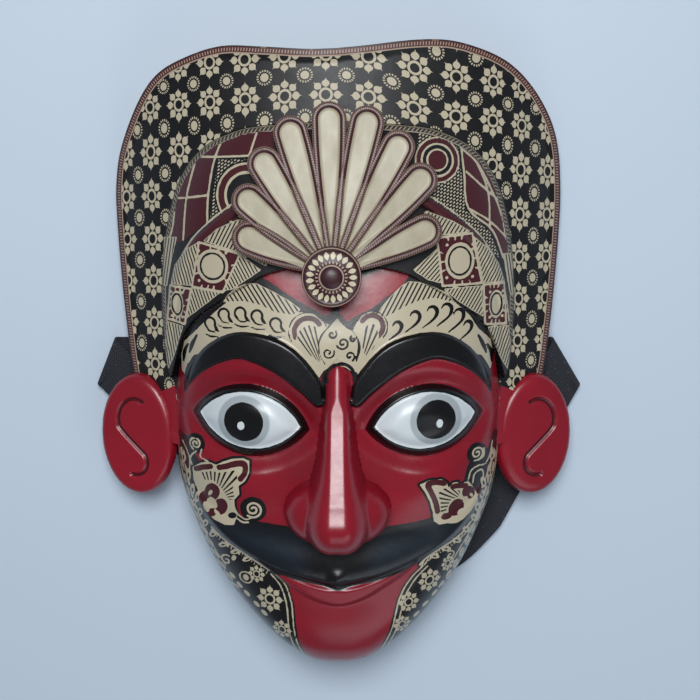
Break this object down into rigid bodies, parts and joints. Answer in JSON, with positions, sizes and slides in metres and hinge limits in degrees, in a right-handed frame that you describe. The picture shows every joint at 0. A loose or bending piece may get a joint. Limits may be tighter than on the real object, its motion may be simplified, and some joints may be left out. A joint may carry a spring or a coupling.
{
  "type": "carved wooden batik mask",
  "caption": "Carved wooden folk mask, lacquered and batik-painted, with an arched crown, a petal fan, disc ears, a long nose and an elastic head strap; it lies face up.",
  "frame": {"origin": "middle of the overall outline, on the surface that the mask lies on", "axes": "+Z out of the face, +Y to the top of the crown, +X to the right of someone who looks at the face"},
  "size_m": [0.234, 0.2909, 0.094],
  "materials": {
    "lacquered_wood": "gloss scarlet, black and cream lacquer over carved wood, with batik line-work",
    "elastic": "matt black woven elastic"
  },
  "bodies": {
    "root": {"mask": "lacquered_wood", "strap": "elastic"}
  },
  "joints": []
}
